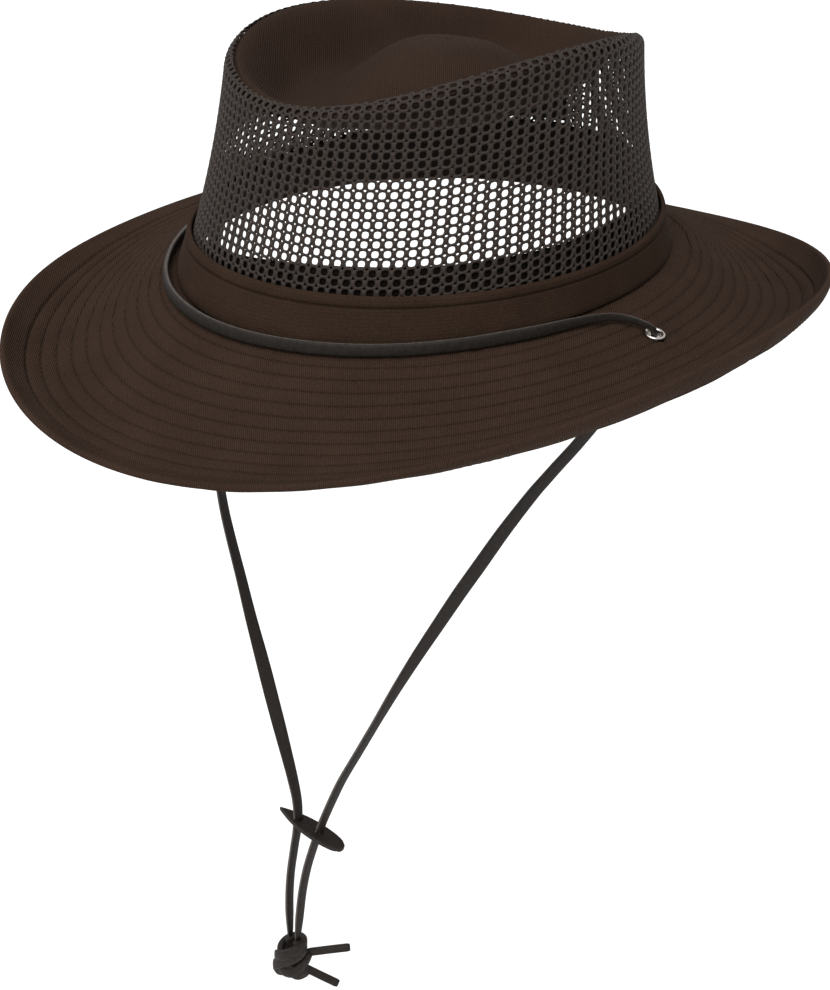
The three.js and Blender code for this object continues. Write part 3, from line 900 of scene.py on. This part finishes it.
def with_eyelet_holes(corners, quads):
    for side in EYELET_SPOTS:
        centre, axis = eyelet_place(side)
        offset = corners - centre
        along = (offset @ axis)[:, None] * axis
        aside = offset - along
        away = np.linalg.norm(aside, axis=1)
        near = np.linalg.norm(offset, axis=1) < HOLE_REACH
        cut = near & (away < HOLE_CUT)
        moved = near & (away < HOLE_RADIUS) & ~cut
        corners[moved] = (centre + along + unit(aside) * HOLE_RADIUS)[moved]
        quads = quads[~cut[quads].any(axis=1)]
    return corners, quads


def brim_piece():
    angles = station_angles()
    width = brim_width(angles)[:, None]
    phases = np.add.outer(np.arange(ROW_COUNT), RINGS_IN_ROW).ravel()
    top_rows = np.concatenate([
        np.array(RINGS_BEFORE) + 0 * width,
        row_cloth(width, phases),
        row_cloth(width, ROW_COUNT) + np.array(RINGS_AFTER),
    ], axis=1)
    half = BRIM_THICKNESS / 2
    turn = np.linspace(math.pi / 2, -math.pi / 2, 9)[1:-1]
    edge_rows = width - half + half * np.cos(turn)
    edge_lift = -half + half * np.sin(turn) + 0 * width
    cloth = np.concatenate([top_rows, edge_rows, top_rows[:, ::-1]], axis=1)
    angle = np.broadcast_to(angles[:, None], cloth.shape)
    over = brim_relief(angles[:, None], top_rows, SEED_ABOVE)
    under = brim_relief(angles[:, None], top_rows, SEED_BELOW)
    thin = EDGE_THINNING * (1 - ease((top_rows + BRIM_LEDGE) / 7))
    lift = np.concatenate([over, edge_lift, (thin - BRIM_THICKNESS - under)[:, ::-1]], axis=1)
    corners = brim_point(angle, cloth) + brim_normal(angle, cloth) * lift[..., None]
    # The rows map has whole numbers in the stitch grooves, where the brim's look paints shade
    phase = row_phase(angle, cloth)
    phase = np.where((phase > -0.5) & (phase < ROW_COUNT + 0.5), phase, 0.5)
    quads = grid_faces(len(angles), cloth.shape[1], True, True)[:, ::-1]
    corners, quads = with_eyelet_holes(corners.reshape(-1, 3), quads)
    uvs = along_ribs(flat_cloth(angle, cloth))
    mesh = new_mesh("brim", corners, [quads], uvs, rows=np.stack([phase, 0 * phase], axis=-1))
    return new_piece("brim_quilted", mesh, cloth_look, "brim")


brim_piece()


# Eyelets

EYELET_BARREL = 3.05
EYELET_LIP = {"radius": 3.15, "half_width": 0.65, "base": 0.15, "height": 0.62, "sides": 8}


def lathe_mesh(name, profile, centre, axis, sides=40):
    side = unit(np.cross(axis, np.array([0.3, 1, 0.2])))
    other = np.cross(axis, side)
    turn = full_turn(sides, 2 * math.pi)
    ring = np.cos(turn)[:, None] * side + np.sin(turn)[:, None] * other
    corners = centre + ring[:, None] * profile[None, :, :1] + axis * profile[None, :, 1:]
    return new_mesh(name, corners, [grid_faces(sides, len(profile), True, True)])


def eyelet_profile():
    """Radius and height up the outside of the section. Its last point joins the first down the bore."""
    top = EYELET_CLEARANCE
    bottom = -BRIM_THICKNESS - EYELET_CLEARANCE
    turn = np.linspace(0, math.pi, EYELET_LIP["sides"])
    radius = EYELET_LIP["radius"] + EYELET_LIP["half_width"] * np.cos(turn)
    rise = EYELET_LIP["base"] + EYELET_LIP["height"] * np.sin(turn)
    lower = np.stack([radius, bottom - rise], axis=1)[::-1]
    upper = np.stack([radius, top + rise], axis=1)
    barrel = [(EYELET_BARREL, bottom + 0.4), (EYELET_BARREL, top - 0.4)]
    return np.vstack([lower, barrel, upper])


def eyelet_piece(side):
    name = f"eyelet_ring_{side}"
    mesh = lathe_mesh(name, eyelet_profile(), *eyelet_place(side))
    return new_piece(name, mesh, metal_look, f"eyelet_{side}")


for eyelet_side in EYELET_SPOTS:
    eyelet_piece(eyelet_side)


# Bands round the foot of the crown

BAND_STATIONS = 256
BAND_BEAD = 3.6
BEAD_LIFT = 0.3
BAND_RINGS = (0.7, 1.2, 1.8, 2.5, 3.0, 3.3, 3.55, 3.8, 4.1, 4.6, 5.6, 7, 9, 11.5, 13.5, 15)
BAND_INNER_RINGS = (1.5, 4, 8, 12)


def band_section(outer, thickness, height):
    """Share of the height and distance from the wall, up the outer face with its bead and down inside."""
    half = thickness / 2
    round_up = np.linspace(0, math.pi, 9)
    down = np.array(BAND_RINGS)
    down = down[down < height - 1][::-1]
    hump = np.sqrt(np.clip(np.sin(math.pi * np.clip(down / BAND_BEAD, 0, 1)), 0, 1))
    relief = BEAD_LIFT * (hump - bell(down - BAND_BEAD, 0.3))
    inner = np.array([depth for depth in BAND_INNER_RINGS if depth < height - 1])
    share = np.concatenate([
        height - down, height - half + half * np.sin(round_up), height - inner,
        half * (1 - np.sin(round_up[1:-1])),
    ]) / height
    distance = np.concatenate([
        outer + relief, outer - half + half * np.cos(round_up), outer - thickness + 0 * inner,
        outer - half - half * np.cos(round_up[1:-1]),
    ])
    return share, distance


def band_piece(name, node, lift, top, outer, thickness, look):
    height = np.mean(top) - lift
    share, distance = band_section(outer, thickness, height)
    surface = band_surface(lift, top)
    angle, part = np.meshgrid(full_turn(BAND_STATIONS), share, indexing="ij")
    corners = surface(angle, part) + surface_normal(surface, angle, part) * distance[:, None]
    along = running_length(corners[:, 0])[:, None]
    uvs = np.stack([along + 0 * part, part * height], axis=-1)
    # The rows map is 1 in the groove under the bead, where the band's look paints shade
    line = np.clip(0.5 + 0.5 * (1 - part) * height / BAND_BEAD, 0.5, 1.5)
    quads = grid_faces(*part.shape, True, True)
    mesh = new_mesh(name, corners, [quads], uvs, rows=np.stack([line, 0 * line], axis=-1))
    return new_piece(name, mesh, look, node)


band_piece(
    "hat_band_twill", "hat_band", BAND_LIFT, BAND_HEIGHT, BAND_GAP + BAND_THICKNESS, BAND_THICKNESS,
    band_look,
)
band_piece(
    "sweatband_woven", "sweatband", SWEAT_LIFT, CROWN["sweat"], -MESH_THICKNESS - GAP, SWEAT_THICKNESS,
    sweat_look,
)


# Dark patch inside the net

PATCH_TURN = (90, 140)
PATCH_HEIGHT = (28, 42)
PATCH_HALF = 0.5
PATCH_FOOT = 27.4


def patch_piece():
    low, high = PATCH_HEIGHT
    angles = np.linspace(*PATCH_TURN, 40)
    up = np.linspace(low, high, 8)
    turn = np.linspace(0, math.pi, 6)
    bulge = PATCH_HALF * np.sin(turn)
    inward = PATCH_HALF * (1 - np.cos(turn))
    heights = np.concatenate([up, high + PATCH_HALF + bulge, up[::-1], PATCH_FOOT - bulge])
    shifts = -np.concatenate([0 * up, inward, 0 * up + 2 * PATCH_HALF, 2 * PATCH_HALF - inward])
    shifts -= MESH_THICKNESS + GAP
    angle, height = np.meshgrid(angles, heights, indexing="ij")
    corners = wall_point(angle, height) + surface_normal(wall_point, angle, height) * shifts[:, None]
    ring = np.arange(len(heights))
    last = (len(angles) - 1) * len(heights)
    faces = [grid_faces(*height.shape, False, True), ring[None, ::-1], (last + ring)[None]]
    mesh = new_mesh("inner patch", corners, faces)
    return new_piece("inner_patch_cloth", mesh, lining_look, "inner_patch")


patch_piece()


# Cloth top of the crown

TOP_STATIONS = 288
TOP_EDGE = 1.13
TOP_RUMPLE = 0.35
TOP_LIFT = 1.1
TOP_SEAM_DEPTH = 0.7


def top_relief(step, flat):
    """Height of the cloth over the plain crown. It is sunk at the seam and raised beyond it."""
    flat = flat * 0.09
    rumple = TOP_RUMPLE * soft_noise(flat[..., 0], flat[..., 1], 31) * ease((step - 2.3) / 0.4)
    lift = TOP_LIFT * ease((step - 2.24) / 0.06)
    return rumple + lift - TOP_SEAM_DEPTH * bell(step - SEAM_ROW - 0.03, 0.025)


def crown_top_piece():
    steps = np.concatenate([
        np.linspace(TOP_EDGE, 2.12, 10, endpoint=False), np.linspace(2.12, 2.3, 9, endpoint=False),
        np.linspace(2.3, 3, 14, endpoint=False), np.linspace(3, 3.9, 24), [3.94, 3.97],
    ])
    outer = -MESH_THICKNESS - GAP
    angle, step = np.meshgrid(full_turn(TOP_STATIONS), steps, indexing="ij")
    place = rim_point(angle, step)
    normal = surface_normal(rim_point, angle, step)
    relief = top_relief(step, place[..., :2])[..., None]
    over = place + normal * (outer + relief)
    under = place + normal * (outer - CLOTH_THICKNESS + relief)
    corners = np.concatenate([over[:, ::-1], under], axis=1).reshape(-1, 3)
    ribbed = along_ribs(place[..., :2])
    uvs = np.concatenate([ribbed[:, ::-1], ribbed], axis=1).reshape(-1, 2)
    middle = crown_point(0.0, 4.0)
    tips = middle + [(0, 0, outer), (0, 0, outer - CLOTH_THICKNESS)]
    around_count = 2 * len(steps)
    quads = grid_faces(TOP_STATIONS, around_count, True, False)[:, ::-1]
    first = np.arange(TOP_STATIONS) * around_count
    after = np.roll(first, -1)
    low = around_count - 1
    over_fan = fan_faces(len(corners), first, after)
    under_fan = fan_faces(len(corners) + 1, after + low, first + low)
    uvs = np.vstack([uvs, along_ribs(tips[:, :2])])
    mesh = new_mesh("crown top", np.vstack([corners, tips]), [quads, over_fan, under_fan], uvs)
    return new_piece("crown_top_cloth", mesh, crown_look, "crown_top")


crown_top_piece()


# Net: one knitted cell, repeated round the crown and up its wall

NET_PIECES = 4
NET_COLUMNS = 124
NET_ROW = 3.2
NET_RAISE = 0.56
NET_LOW = 0.34
PINHOLE = 0.13
HOLE_LIFT = 0.3
HOLE_U = 0.305
HOLE_V = 0.375
HOLE_SQUARENESS = 0.82


def cell_points():
    """Outline of a cell with a pinhole's quarter at each corner, and the hole in its middle.

    The outline's third value is 1 on the raised yarn between the pinholes and 0 beside them.
    """
    outline = []
    for corner_u, corner_v, start in ((0, 0, 0), (1, 0, 1), (1, 1, 2), (0, 1, 3)):
        for quarter_part in (1, 0.5, 0):
            t = (quarter_part + start) * math.pi / 2
            outline.append((corner_u + PINHOLE * math.cos(t), corner_v + PINHOLE * math.sin(t), 0))
        middle = ((0.5, 0), (1, 0.5), (0.5, 1), (0, 0.5))[start]
        outline.append((*middle, 1))
    outline = np.array(outline)
    turn = np.arctan2(outline[:, 1] - 0.5, outline[:, 0] - 0.5)
    hole_u = 0.5 + HOLE_U * squared(np.cos(turn), HOLE_SQUARENESS)
    hole_v = 0.5 + HOLE_V * squared(np.sin(turn), HOLE_SQUARENESS)
    return outline, np.stack([hole_u, hole_v], axis=1)


def net_cell():
    """Places across a cell, heights over the net's middle and faces of one cell."""
    outline, hole = cell_points()
    count = len(outline)
    raised = outline[:, 2]
    places = np.vstack([outline[:, :2], outline[:, :2], hole, hole])
    height = NET_LOW + (NET_RAISE - NET_LOW) * raised
    rim_height = np.full(count, HOLE_LIFT)
    lift = np.concatenate([height, -height, rim_height, -rim_height])
    ring = np.arange(count)
    after = (ring + 1) % count
    upper = np.stack([ring, after, 2 * count + after, 2 * count + ring], axis=1)
    lower = np.stack([count + ring, 3 * count + ring, 3 * count + after, count + after], axis=1)
    inner = np.stack([2 * count + ring, 2 * count + after, 3 * count + after, 3 * count + ring], axis=1)
    rims = ring[raised[ring] + raised[after] == 0]
    next_rims = (rims + 1) % count
    rim = np.stack([rims, count + rims, count + next_rims, next_rims], axis=1)
    return places, lift, np.vstack([upper, lower, inner, rim])


def net_piece(name, columns):
    places, lift, cell = net_cell()
    u, v = places.T
    angle = (columns[:, None] + u) * 360 / NET_COLUMNS
    track = np.concatenate([np.linspace(0, 1, 60, endpoint=False), np.linspace(1, SEAM_ROW, 40)])
    lengths = running_length(rim_point(angle[..., None], track))
    rows = math.ceil(lengths[..., -1].max() / NET_ROW)
    heights = (np.arange(rows)[:, None] + v) * NET_ROW
    steps = np.empty((rows, *angle.shape))
    for column, corner in np.ndindex(angle.shape):
        steps[:, column, corner] = np.interp(heights[:, corner], lengths[column, corner], track)
    faces = cell + (np.arange(len(columns)) * len(lift))[:, None, None]
    forms = []
    for height, step in zip(heights, steps):
        normal = surface_normal(rim_point, angle, step)
        place = rim_point(angle, step) + normal * (lift - MESH_THICKNESS / 2)[:, None]
        beyond = height > lengths[..., -1] + 1e-6
        lost = beyond.ravel()[faces].all(axis=-1)
        forms.append((place.reshape(-1, 3), faces[~lost]))
    corners, face_lists = joined(forms)
    return new_piece(name, new_mesh(name, corners, face_lists), net_look, "crown_mesh")


for index, columns in enumerate(np.split(np.arange(NET_COLUMNS), NET_PIECES)):
    net_piece(f"crown_net_{index + 1}", columns)


# Stitches

STITCH_LENGTH = 2.3
STITCH_PITCH = 3.1
STITCH_RADIUS = 0.16
STITCH_FLATNESS = 0.9
STITCH_SIDES = 5
# Along a stitch: share of its length and how deep its middle line lies in the cloth
STITCH_SHARES = (0, 0.22, 0.78, 1.0)
STITCH_DEPTHS = (0.35, 0.02, 0.02, 0.35)
STITCH_STATIONS = 720
EDGE_STITCH_SHIFT = 0.9
BAND_STITCH_DEPTH = 2.6


def stitch_line(place, normal):
    """Corners and triangles of short threads round a closed line, half sunk into the cloth."""
    place = np.vstack([place, place[:1]])
    normal = np.vstack([normal, normal[:1]])
    along = running_length(place)
    count = int(round(along[-1] / STITCH_PITCH))
    starts = np.arange(count) * along[-1] / count
    at = starts[:, None] + np.array(STITCH_SHARES) * STITCH_LENGTH
    spots = np.stack([np.interp(at, along, place[:, axis]) for axis in range(3)], axis=-1)
    ups = unit(np.stack([np.interp(at, along, normal[:, axis]) for axis in range(3)], axis=-1))
    ahead = unit(spots[:, -1:] - spots[:, :1])
    side = unit(np.cross(ahead, ups))
    spots = spots - ups * np.array(STITCH_DEPTHS)[:, None]
    turn = full_turn(STITCH_SIDES, 2 * math.pi)[:, None]
    ring = side[:, 1:3, None] * np.cos(turn) + ups[:, 1:3, None] * np.sin(turn) * STITCH_FLATNESS
    rings = spots[:, 1:3, None] + ring * STITCH_RADIUS
    corners = np.concatenate([spots[:, :1], rings[:, 0], rings[:, 1], spots[:, 3:]], axis=1)
    first = 1 + np.arange(STITCH_SIDES)
    first_after = np.roll(first, -1)
    second = first + STITCH_SIDES
    second_after = first_after + STITCH_SIDES
    triangles = np.concatenate([
        fan_faces(0, first, first_after),
        np.stack([first, second_after, first_after], axis=1),
        np.stack([first, second, second_after], axis=1),
        fan_faces(corners.shape[1] - 1, second_after, second),
    ])
    faces = triangles + (np.arange(count) * corners.shape[1])[:, None, None]
    return corners.reshape(-1, 3), faces.reshape(-1, 3)


def stitches_piece(name, lines):
    corners, faces = joined([stitch_line(place, normal) for place, normal in lines])
    return new_piece(name, new_mesh(name, corners, faces), thread_look)


def brim_stitches(name, seed, top):
    angles = full_turn(STITCH_STATIONS)
    lines = []
    for row in range(ROW_COUNT + 1):
        cloth = row_cloth(brim_width(angles), row)
        if row == ROW_COUNT:
            cloth = cloth + EDGE_STITCH_SHIFT
        normal = brim_normal(angles, cloth)
        lift = brim_relief(angles, cloth, seed)
        if not top:
            normal = -normal
            lift = lift + BRIM_THICKNESS
        lines.append((brim_point(angles, cloth) + normal * lift[:, None], normal))
    return stitches_piece(name, lines)


def band_stitches():
    angles = full_turn(STITCH_STATIONS)
    surface = band_surface(BAND_LIFT, BAND_HEIGHT)
    part = np.full(angles.shape, 1 - BAND_STITCH_DEPTH / BAND_HEIGHT)
    normal = surface_normal(surface, angles, part)
    place = surface(angles, part) + normal * (BAND_GAP + BAND_THICKNESS)
    return stitches_piece("band_stitches", [(place, normal)])


brim_stitches("brim_stitches_above", SEED_ABOVE, True)
brim_stitches("brim_stitches_below", SEED_BELOW, False)
band_stitches()


# Floor, light and surroundings

FLOOR_HALF = 4000
FLOOR_HEIGHT = -800
FLOOR_CORNERS = ((-1, -1, 0), (1, -1, 0), (1, 1, 0), (-1, 1, 0))
SUN_SIZE = 0.8


def make_stage():
    look = Look("pale floor")
    look.shader.inputs["Base Color"].default_value = (0.93, 0.93, 0.93, 1)
    look.gloss(0.9, 0.5)
    mesh = new_mesh("floor", np.array(FLOOR_CORNERS) * FLOOR_HALF, [[(0, 1, 2, 3)]])
    mesh.materials.append(look.material)
    floor = bpy.data.objects.new("floor", mesh)
    floor.location = (0, 0, FLOOR_HEIGHT * MM)
    bpy.context.scene.collection.objects.link(floor)


def sun_light(name, towards, strength):
    """A soft sun. towards points from the hat to the light."""
    data = bpy.data.lights.new(name, "SUN")
    data.energy = strength
    data.angle = SUN_SIZE
    light = bpy.data.objects.new(name, data)
    light.rotation_euler = Vector(towards).to_track_quat("Z", "Y").to_euler()
    bpy.context.scene.collection.objects.link(light)


def make_surroundings():
    world = bpy.data.worlds.new("white surroundings")
    bpy.context.scene.world = world
    world.use_nodes = True
    background = world.node_tree.nodes["Background"]
    background.inputs["Color"].default_value = (1, 1, 1, 1)
    background.inputs["Strength"].default_value = 0.7
    bpy.context.scene.view_settings.view_transform = "Standard"
    bpy.context.scene.view_settings.look = "None"


make_stage()
sun_light("key light", (0.3, -0.72, 1.05), 2.2)
sun_light("side light", (-0.9, -0.3, 0.7), 0.5)
make_surroundings()
